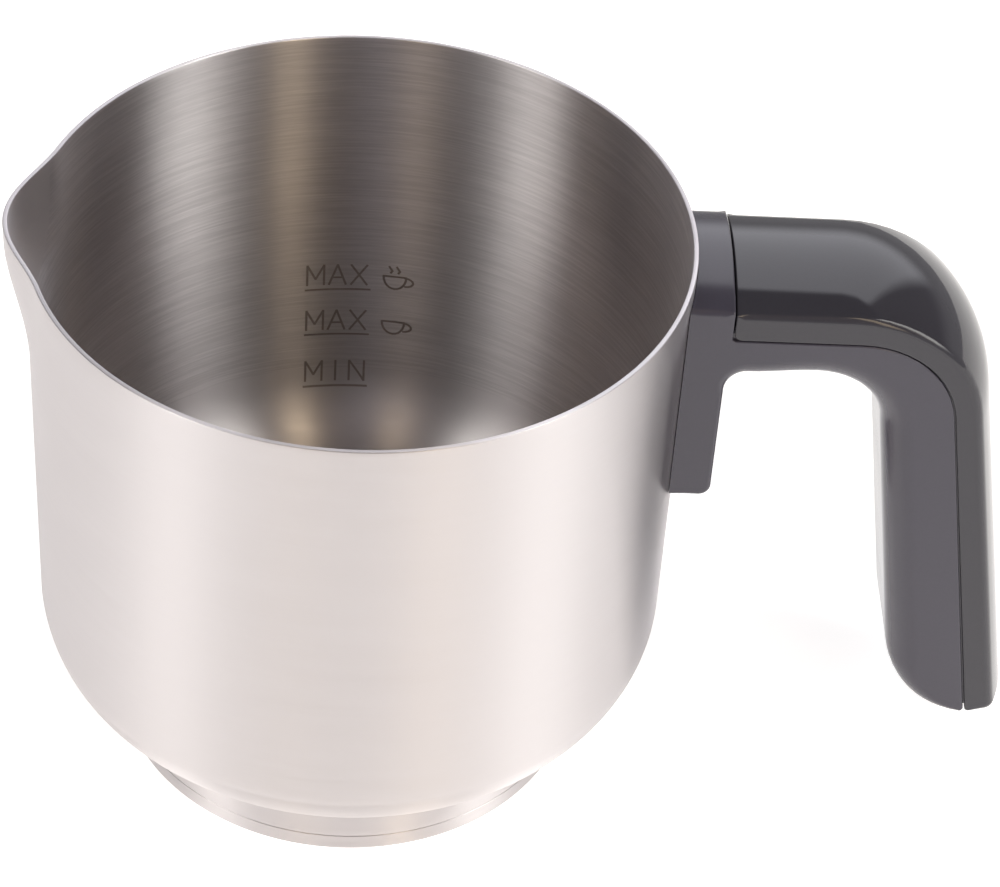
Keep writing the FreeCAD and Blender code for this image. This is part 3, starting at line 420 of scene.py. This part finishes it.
def handle_cover_outline():
    seam = (SEAM_BEND, SEAM_BEND_X, SEAM_HEIGHT, SEAM_LEAN)
    back = (COVER_BEND, COVER_BEND_X, BAR_TOP, COVER_LEAN)
    corners = [
        Corner((COVER_START, SEAM_HEIGHT), 1.3, 0.3),
        Corner(bend_corner(*seam), SEAM_BEND, 0.3),
        Corner(line_end(*seam), 0.7, 0.5),
        Corner(line_end(*back), 1.5, 1.1),
        Corner(bend_corner(*back), COVER_BEND, 1.1),
        Corner((COVER_START + 1.5, BAR_TOP), 0, 1.0),
        Corner((COVER_START, BAR_TOP), 0.3, 0.25),
    ]
    return corners


def cover_direction(place):
    """The outward normal of the cover's back nearest to a place, and the depth under the back's long edges."""
    centre = Vector((COVER_BEND_X, BAR_TOP - COVER_BEND))
    spoke = place - centre
    angle = math.atan2(spoke.y, spoke.x)
    if spoke.x <= 0:
        return Vector((0.0, 1.0)), BAR_TOP - place.y
    if angle >= COVER_LEAN:
        return spoke.normalized(), COVER_BEND - spoke.length
    normal = Vector((math.cos(COVER_LEAN), math.sin(COVER_LEAN)))
    return normal, COVER_BEND - spoke.dot(normal)


def shape_handle_cover(place, normal, edge, y, distance):
    """The back is crowned across its width; the lips at its sides stay straight."""
    out, depth = cover_direction(place)
    share = max(0.0, min(1.0, 1.0 - depth / (BAR_TOP - SEAM_HEIGHT)))
    crown = out * (crown_at(y) * share)
    return place - normal * edge_drop(distance, edge) + crown + end_bulge(place, y)


def make_handle_cover():
    outline = rounded_outline(handle_cover_outline())
    cover = layered_solid("handle_back", outline, shape_handle_cover)
    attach(cover, "jug")
    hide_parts("handle_cover")
    return cover


def seam_tongue_outline():
    """A rib under the cover's lips that stands in the handle body, so that the seam has a bottom."""
    half = 1.2
    outer = (SEAM_BEND + half, SEAM_BEND_X, SEAM_HEIGHT + half, SEAM_LEAN)
    inner = (SEAM_BEND - half, SEAM_BEND_X, SEAM_HEIGHT - half, SEAM_LEAN)
    lift = Vector((-math.sin(SEAM_LEAN), math.cos(SEAM_LEAN))) * 1.6
    start = COLLAR_FACE - 1.0
    return [
        Corner((start, SEAM_HEIGHT - half), 0),
        Corner(bend_corner(*inner), SEAM_BEND - half),
        Corner(line_end(*inner) + lift, 0),
        Corner(line_end(*outer) + lift, 0),
        Corner(bend_corner(*outer), SEAM_BEND + half),
        Corner((start, SEAM_HEIGHT + half), 0),
    ]


def shape_seam_tongue(place, normal, edge, y, distance):
    """The rib is square, so every layer is the same."""
    return place


def make_seam_tongue():
    outline = rounded_outline(seam_tongue_outline())
    tongue = layered_solid("seam_tongue", outline, shape_seam_tongue, narrower=0.65)
    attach(tongue, "jug")
    return tongue


# ---------------------------------------------------------------------------------------------
# Level marks
# ---------------------------------------------------------------------------------------------
LETTERS = {
    "M": (1.0, [[(0, 0), (0, 1), (0.5, 0.3), (1, 1), (1, 0)]]),
    "A": (1.0, [[(0, 0), (0.5, 1), (1, 0)], [(0.2, 0.36), (0.8, 0.36)]]),
    "X": (0.95, [[(0, 0), (1, 1)], [(0, 1), (1, 0)]]),
    "I": (0.0, [[(0, 0), (0, 1)]]),
    "N": (0.9, [[(0, 0), (0, 1), (1, 0), (1, 1)]]),
}
LETTER_HEIGHT, LETTER_WIDTH, MARK_WIDTH = 4.6, 3.1, 0.42
MARK_START, LINE_END, CUP_START = -10.3, 1.6, 4.0


def inner_radius(height):
    """Radius of the vessel's inner wall, which curves in at the shoulder."""
    if height >= SHOULDER_TOP:
        return RADIUS - SHEET
    curve = SHOULDER_RADIUS - SHEET
    return RADIUS - SHOULDER_RADIUS + math.sqrt(curve**2 - (SHOULDER_TOP - height) ** 2)


def word_strokes(word, left, right, base):
    """Strokes of the letters, spread evenly between two places."""
    widths = [LETTERS[letter][0] * LETTER_WIDTH for letter in word]
    space = (right - left - sum(widths)) / (len(word) - 1)
    strokes = []
    for letter, width in zip(word, widths):
        for stroke in LETTERS[letter][1]:
            strokes.append([(left + x * width, base + y * LETTER_HEIGHT) for x, y in stroke])
        left += width + space
    return strokes


def cup_strokes(left, base, steaming):
    """A small cup with its handle on the right, and steam above it."""
    bowl_angles = [math.pi * k / 12 for k in range(13)]
    ear_angles = [math.pi * k / 8 for k in range(9)]
    bowl = [(left + 2.1 - 2.1 * math.cos(a), base + 3.1 - 2.9 * math.sin(a)) for a in bowl_angles]
    ear = [(left + 4.0 + 1.5 * math.sin(a), base + 2.0 - 1.0 * math.cos(a)) for a in ear_angles]
    strokes = [bowl + [bowl[0]], ear]
    if steaming:
        for x in (1.3, 2.7):
            strokes.append([(left + x + 0.3 * math.sin(k * 1.6), base + 3.9 + 0.5 * k) for k in range(4)])
    return strokes


def mark_strokes():
    strokes = []
    for word, height in zip(("MIN", "MAX", "MAX"), MARK_HEIGHTS):
        strokes.append([(MARK_START, height), (LINE_END, height)])
        strokes += word_strokes(word, MARK_START + 0.3, LINE_END - 0.6, height + 1.1)
    strokes += cup_strokes(CUP_START, MARK_HEIGHTS[1] + 0.4, False)
    strokes += cup_strokes(CUP_START, MARK_HEIGHTS[2] + 0.4, True)
    return strokes


def make_level_marks():
    """Etched strokes just in front of the inner wall, at its back (+Y)."""
    points, faces = [], []
    for stroke in mark_strokes():
        for a, b in zip(stroke, stroke[1:]):
            a, b = Vector(a), Vector(b)
            along = (b - a).normalized()
            aside = Vector((-along.y, along.x)) * (MARK_WIDTH / 2)
            a, b = a - along * (MARK_WIDTH / 4), b + along * (MARK_WIDTH / 4)
            steps = max(1, math.ceil((b - a).length / 1.2))
            for k in range(steps + 1):
                middle = a.lerp(b, k / steps)
                for corner in (middle + aside, middle - aside):
                    reach = inner_radius(corner.y) - 0.04
                    angle = math.pi / 2 - corner.x / reach
                    points.append((reach * math.cos(angle), reach * math.sin(angle), corner.y))
                if k:
                    n = len(points)
                    faces.append((n - 4, n - 3, n - 1, n - 2))
    marks = make_object("level_marks", points, faces)
    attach(marks, "jug")
    return marks


# ---------------------------------------------------------------------------------------------
# Whisk
# ---------------------------------------------------------------------------------------------
def make_coil():
    """Fine wire wound round a ring, the whisk's frothing coil."""
    around, across = 14, 6
    count = COIL_TURNS * around
    winding = COIL_RADIUS - COIL_WIRE
    centres = []
    for k in range(count):
        turn, spin = TAU * k / count, TAU * k / around
        reach = COIL_PATH + winding * math.cos(spin)
        height = COIL_HEIGHT + winding * math.sin(spin)
        centres.append(Vector((reach * math.cos(turn), reach * math.sin(turn), height)))
    points, faces = [], []
    for k, centre in enumerate(centres):
        along = (centres[(k + 1) % count] - centres[k - 1]).normalized()
        turn = TAU * k / count
        middle = Vector((COIL_PATH * math.cos(turn), COIL_PATH * math.sin(turn), COIL_HEIGHT))
        inward = (middle - centre).normalized()
        side = along.cross(inward).normalized()
        lift = side.cross(along)
        for j in range(across):
            angle = TAU * j / across
            points.append(centre + (side * math.cos(angle) + lift * math.sin(angle)) * COIL_WIRE)
    for k in range(count):
        for j in range(across):
            a, b = k * across + j, k * across + (j + 1) % across
            c, d = (k + 1) % count * across + (j + 1) % across, (k + 1) % count * across + j
            faces.append((a, b, c, d))
    coil = make_object("frothing_coil", points, faces, sharp_angle=80)
    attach(coil, "whisk")
    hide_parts("whisk_coil")
    return coil


# ---------------------------------------------------------------------------------------------
# Materials
# ---------------------------------------------------------------------------------------------
class Nodes:
    """A small helper that adds shader nodes and joins them."""

    def __init__(self, material):
        material.use_nodes = True
        self.tree = material.node_tree
        self.shader = self.tree.nodes["Principled BSDF"]

    def add(self, kind, inputs=None, **settings):
        node = self.tree.nodes.new(kind)
        for key, value in settings.items():
            setattr(node, key, value)
        for key, value in (inputs or {}).items():
            if isinstance(value, bpy.types.NodeSocket):
                self.tree.links.new(value, node.inputs[key])
            else:
                node.inputs[key].default_value = value
        return node

    def join(self, output, name):
        self.tree.links.new(output, self.shader.inputs[name])

    def calculate(self, operation, *values):
        return self.add("ShaderNodeMath", dict(enumerate(values)), operation=operation).outputs[0]

    def noise(self, place, stretch, **inputs):
        """Noise over the piece's own space, stretched along its axes."""
        mapping = self.add("ShaderNodeMapping", {"Vector": place, "Scale": stretch})
        noise = self.add("ShaderNodeTexNoise", {"Vector": mapping.outputs[0], "Scale": 1.0, **inputs})
        return noise.outputs["Fac"]

    def spread(self, value, start, full, low, high):
        """Carries start to full over to low to high."""
        inputs = {"Value": value, "From Min": start, "From Max": full, "To Min": low, "To Max": high}
        return self.add("ShaderNodeMapRange", inputs).outputs["Result"]

    def mix(self, share, first, second, **settings):
        """Mixes two colours, each given by value or by an output."""
        node = self.add("ShaderNodeMix", data_type="RGBA", **settings)
        for index, value in ((0, share), (6, first), (7, second)):
            if isinstance(value, bpy.types.NodeSocket):
                self.tree.links.new(value, node.inputs[index])
            else:
                node.inputs[index].default_value = (*value, 1)
        return node.outputs[2]


def scaled(colour, share):
    return tuple(c * share for c in colour)


INSIDE_GLOSS = 0.045  # how much less rough the inside is
FLOOR_ROUGHNESS = 0.3  # how much rougher the vessel's floor is


def brushed_metal(name, colour, roughness, anisotropy, inside_lines=0.0):
    """Steel brushed round the Z axis: fine level lines, coarser on the vessel's inside."""
    material = bpy.data.materials.new(name)
    nodes = Nodes(material)
    nodes.shader.inputs["Metallic"].default_value = 1.0
    nodes.shader.inputs["Anisotropic Rotation"].default_value = 0.25
    place = nodes.add("ShaderNodeTexCoord").outputs["Object"]
    lines = nodes.noise(place, (45.0, 45.0, 4200.0), Detail=3.0, Roughness=0.6)
    scratches = nodes.noise(place, (60.0, 60.0, 2000.0), Detail=4.0, Roughness=0.7)

    split = nodes.add("ShaderNodeSeparateXYZ", {"Vector": place})
    flat = nodes.add("ShaderNodeCombineXYZ", {"X": split.outputs["X"], "Y": split.outputs["Y"]})
    reach = nodes.add("ShaderNodeVectorMath", {0: flat.outputs[0]}, operation="LENGTH").outputs["Value"]
    inside = nodes.calculate("LESS_THAN", reach, (RADIUS - SHEET / 2) * MM)
    near_axis = nodes.calculate("LESS_THAN", reach, (FOOT_RADIUS - SHEET - 0.1) * MM)
    high = nodes.calculate("GREATER_THAN", split.outputs["Z"], SHOULDER_TOP * MM)
    weight = nodes.calculate("MULTIPLY", nodes.calculate("MULTIPLY", inside, high), inside_lines)

    rough = nodes.spread(lines, 0.3, 0.7, roughness * 0.9, roughness * 1.1)
    rough = nodes.calculate("MULTIPLY_ADD", near_axis, FLOOR_ROUGHNESS, rough)
    rough = nodes.calculate("MULTIPLY_ADD", inside, -INSIDE_GLOSS, rough)
    nodes.join(rough, "Roughness")
    drawn = nodes.calculate("MULTIPLY_ADD", inside, 1.0 - anisotropy, anisotropy)
    nodes.join(drawn, "Anisotropic")

    tint = nodes.mix(lines, scaled(colour, 0.975), colour)
    bright = nodes.spread(scratches, 0.40, 0.66, 0.90, 1.08)
    nodes.join(nodes.mix(weight, tint, bright, blend_type="MULTIPLY"), "Base Color")
    bump = nodes.add("ShaderNodeBump", {"Height": lines, "Strength": 0.02, "Distance": 0.00005})
    nodes.join(bump.outputs["Normal"], "Normal")
    tangent = nodes.add("ShaderNodeTangent", direction_type="RADIAL", axis="Z")
    nodes.join(tangent.outputs["Tangent"], "Tangent")
    return material


def plain_metal(name, colour, roughness):
    """Rolled or plated metal with a faint even grain."""
    material = bpy.data.materials.new(name)
    nodes = Nodes(material)
    nodes.shader.inputs["Metallic"].default_value = 1.0
    place = nodes.add("ShaderNodeTexCoord").outputs["Object"]
    grain = nodes.add("ShaderNodeTexNoise", {"Vector": place, "Scale": 900.0, "Detail": 3.0}).outputs["Fac"]
    nodes.join(nodes.spread(grain, 0.3, 0.7, roughness * 0.8, roughness * 1.2), "Roughness")
    nodes.join(nodes.mix(grain, scaled(colour, 0.93), colour), "Base Color")
    return material


def moulded_plastic(name, colour, roughness, grain_depth):
    """Moulded plastic: a fine grain in the surface and slight changes in colour and gloss."""
    material = bpy.data.materials.new(name)
    nodes = Nodes(material)
    nodes.shader.inputs["IOR"].default_value = 1.5
    place = nodes.add("ShaderNodeTexCoord").outputs["Object"]
    fine = {"Vector": place, "Scale": 2200.0, "Detail": 2.0, "Roughness": 0.55}
    grain = nodes.add("ShaderNodeTexNoise", fine).outputs["Fac"]
    cloud = nodes.add("ShaderNodeTexNoise", {"Vector": place, "Scale": 60.0, "Detail": 3.0}).outputs["Fac"]
    nodes.join(nodes.spread(cloud, 0.3, 0.7, roughness * 0.92, roughness * 1.08), "Roughness")
    nodes.join(nodes.mix(grain, scaled(colour, 0.94), scaled(colour, 1.06)), "Base Color")
    bump = nodes.add("ShaderNodeBump", {"Height": grain, "Strength": grain_depth, "Distance": 0.00004})
    nodes.join(bump.outputs["Normal"], "Normal")
    return material


def coat_with(item, material):
    item.data.materials.clear()
    item.data.materials.append(material)


# ---------------------------------------------------------------------------------------------
# Camera, floor and light
# ---------------------------------------------------------------------------------------------
LENS, SENSOR = 117.7, 36.0
CAMERA_PLACE = Vector((0.0, -0.41449, 0.42803))
CAMERA_AIM = Vector((0.04407, 0.74599, -0.66450))
CAMERA_ROLL = math.radians(4.31)


def make_camera():
    data = bpy.data.cameras.new("camera")
    data.lens = LENS
    data.sensor_width = SENSOR
    camera = bpy.data.objects.new("camera", data)
    bpy.context.scene.collection.objects.link(camera)
    turn = CAMERA_AIM.to_track_quat("-Z", "Y").to_matrix() @ Matrix.Rotation(CAMERA_ROLL, 3, "Z")
    camera.matrix_world = Matrix.Translation(CAMERA_PLACE) @ turn.to_4x4()
    bpy.context.scene.camera = camera


def make_floor():
    """A pale light table, a hair below the object's underside."""
    half = 3.0
    mesh = bpy.data.meshes.new("floor")
    corners = [(-half, -half, 0), (half, -half, 0), (half, half, 0), (-half, half, 0)]
    mesh.from_pydata(corners, [], [(0, 1, 2, 3)])
    floor = bpy.data.objects.new("floor", mesh)
    floor.location.z = -0.00005
    bpy.context.scene.collection.objects.link(floor)
    material = bpy.data.materials.new("floor_paint")
    nodes = Nodes(material)
    nodes.shader.inputs["Base Color"].default_value = (0.93, 0.93, 0.93, 1)
    nodes.shader.inputs["Roughness"].default_value = 0.8
    nodes.shader.inputs["Emission Color"].default_value = (1, 1, 1, 1)
    nodes.shader.inputs["Emission Strength"].default_value = 0.55
    coat_with(floor, material)


# What stands round the table, by its bearing in degrees from the front (-Y) towards the left (-X): a white
# backdrop behind and to the right, dark room at the sides, two high windows, and warm furniture between them.
SURROUNDINGS = [
    (-180, (2.10, 2.10, 2.22)),
    (-143, (1.90, 1.90, 2.00)),
    (-133, (0.20, 0.19, 0.20)),
    (-100, (0.12, 0.11, 0.11)),
    (-84, (0.10, 0.09, 0.09)),
    (-78, (1.80, 1.75, 1.70)),
    (-73, (5.60, 5.55, 5.30)),
    (-60, (5.60, 5.55, 5.30)),
    (-51, (1.60, 1.45, 1.30)),
    (-43, (0.20, 0.16, 0.15)),
    (-34, (0.30, 0.24, 0.22)),
    (-30, (3.60, 2.90, 2.00)),
    (-24, (3.80, 3.05, 2.10)),
    (-19, (0.35, 0.29, 0.27)),
    (8, (0.24, 0.21, 0.21)),
    (15, (1.60, 1.28, 0.92)),
    (21, (1.50, 1.20, 0.85)),
    (28, (0.35, 0.30, 0.29)),
    (46, (0.45, 0.43, 0.42)),
    (54, (5.10, 5.00, 4.80)),
    (64, (4.90, 4.75, 4.50)),
    (73, (0.50, 0.45, 0.42)),
    (82, (0.08, 0.07, 0.07)),
    (160, (0.15, 0.14, 0.14)),
    (174, (0.80, 0.80, 0.84)),
    (180, (2.10, 2.10, 2.22)),
]
# Even walls stand below all that, and a dark ceiling above it. Heights are sines of the angle above level.
LOW_WALLS = (0.50, 0.49, 0.50)
BAND_START, BAND_FULL = math.sin(math.radians(8)), math.sin(math.radians(22))
CEILING = (0.07, 0.07, 0.075)
CEILING_START, CEILING_FULL = math.sin(math.radians(63)), math.sin(math.radians(66))


def make_world():
    """A studio room whose walls differ in brightness by bearing."""
    world = bpy.data.worlds.new("studio")
    bpy.context.scene.world = world
    world.use_nodes = True
    tree = world.node_tree
    direction = tree.nodes.new("ShaderNodeTexCoord").outputs["Generated"]
    split = tree.nodes.new("ShaderNodeSeparateXYZ")
    tree.links.new(direction, split.inputs[0])

    def calculate(operation, first, second):
        node = tree.nodes.new("ShaderNodeMath")
        node.operation = operation
        for socket, value in zip(node.inputs, (first, second)):
            if isinstance(value, bpy.types.NodeSocket):
                tree.links.new(value, socket)
            else:
                socket.default_value = value
        return node.outputs[0]

    left = calculate("MULTIPLY", split.outputs["X"], -1.0)
    front = calculate("MULTIPLY", split.outputs["Y"], -1.0)
    bearing = calculate("ARCTAN2", left, front)
    share = calculate("ADD", calculate("DIVIDE", bearing, TAU), 0.5)
    ramp = tree.nodes.new("ShaderNodeValToRGB")
    ramp.color_ramp.interpolation = "EASE"
    tree.links.new(share, ramp.inputs[0])
    stops = ramp.color_ramp.elements
    while len(stops) < len(SURROUNDINGS):
        stops.new(0.5)
    for stop, (angle, colour) in zip(stops, SURROUNDINGS):
        stop.position = angle / 360 + 0.5
        stop.color = (*colour, 1)

    def change_with_height(below, above, start, full):
        """Turns from one colour into another between two heights."""
        rise = tree.nodes.new("ShaderNodeMapRange")
        rise.interpolation_type = "SMOOTHSTEP"
        rise.inputs["From Min"].default_value = start
        rise.inputs["From Max"].default_value = full
        tree.links.new(split.outputs["Z"], rise.inputs["Value"])
        mix = tree.nodes.new("ShaderNodeMix")
        mix.data_type = "RGBA"
        tree.links.new(rise.outputs["Result"], mix.inputs[0])
        for index, colour in ((6, below), (7, above)):
            if isinstance(colour, bpy.types.NodeSocket):
                tree.links.new(colour, mix.inputs[index])
            else:
                mix.inputs[index].default_value = (*colour, 1)
        return mix.outputs[2]

    walls = change_with_height(LOW_WALLS, ramp.outputs[0], BAND_START, BAND_FULL)
    room = change_with_height(walls, CEILING, CEILING_START, CEILING_FULL)
    tree.links.new(room, tree.nodes["Background"].inputs["Color"])


# ---------------------------------------------------------------------------------------------
# Build
# ---------------------------------------------------------------------------------------------
STEEL = (0.67, 0.640, 0.648)
vessel_steel = brushed_metal("vessel_steel", STEEL, 0.42, 0.88, 1.0)
base_steel = brushed_metal("base_steel", STEEL, 0.42, 0.88)
mark_finish = plain_metal("etched_marks", (0.40, 0.355, 0.335), 0.6)
cover_plastic = moulded_plastic("cover_plastic", (0.034, 0.033, 0.042), 0.06, 0.003)
body_plastic = moulded_plastic("body_plastic", (0.049, 0.046, 0.064), 0.15, 0.010)
black_plastic = moulded_plastic("black_plastic", (0.02, 0.02, 0.022), 0.38, 0.10)
acetal = moulded_plastic("acetal", (0.70, 0.68, 0.62), 0.40, 0.03)
ceramic = moulded_plastic("ceramic", (0.82, 0.82, 0.80), 0.15, 0.01)
silicone = moulded_plastic("silicone", (0.42, 0.41, 0.40), 0.60, 0.06)
sheet_steel = plain_metal("sheet_steel", (0.62, 0.61, 0.60), 0.32)
plated = plain_metal("plated", (0.70, 0.70, 0.72), 0.18)
aluminium = plain_metal("aluminium", (0.78, 0.78, 0.80), 0.35)

coat_with(make_vessel(), vessel_steel)
coat_with(make_base_cup(), base_steel)
coat_with(make_handle_body(), body_plastic)
coat_with(make_handle_cover(), cover_plastic)
coat_with(make_seam_tongue(), body_plastic)
coat_with(make_level_marks(), mark_finish)
coat_with(make_coil(), plated)

NODE_FINISH = {
    "heat_spreader": aluminium,
    "whisk_stud": sheet_steel,
    "handle_bracket": sheet_steel,
    "handle_screws": plated,
    "whisk_bush": acetal,
    "thrust_pad": ceramic,
    "whisk_frame": black_plastic,
    "drive_magnets": plated,
    "magnet_yoke": sheet_steel,
    "magnet_cover": black_plastic,
    "whisk_cap": black_plastic,
    "cap_seal": silicone,
}
for node, finish in NODE_FINISH.items():
    coat_with(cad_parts[node], finish)

make_camera()
make_floor()
make_world()

bpy.context.scene.view_settings.view_transform = "Standard"
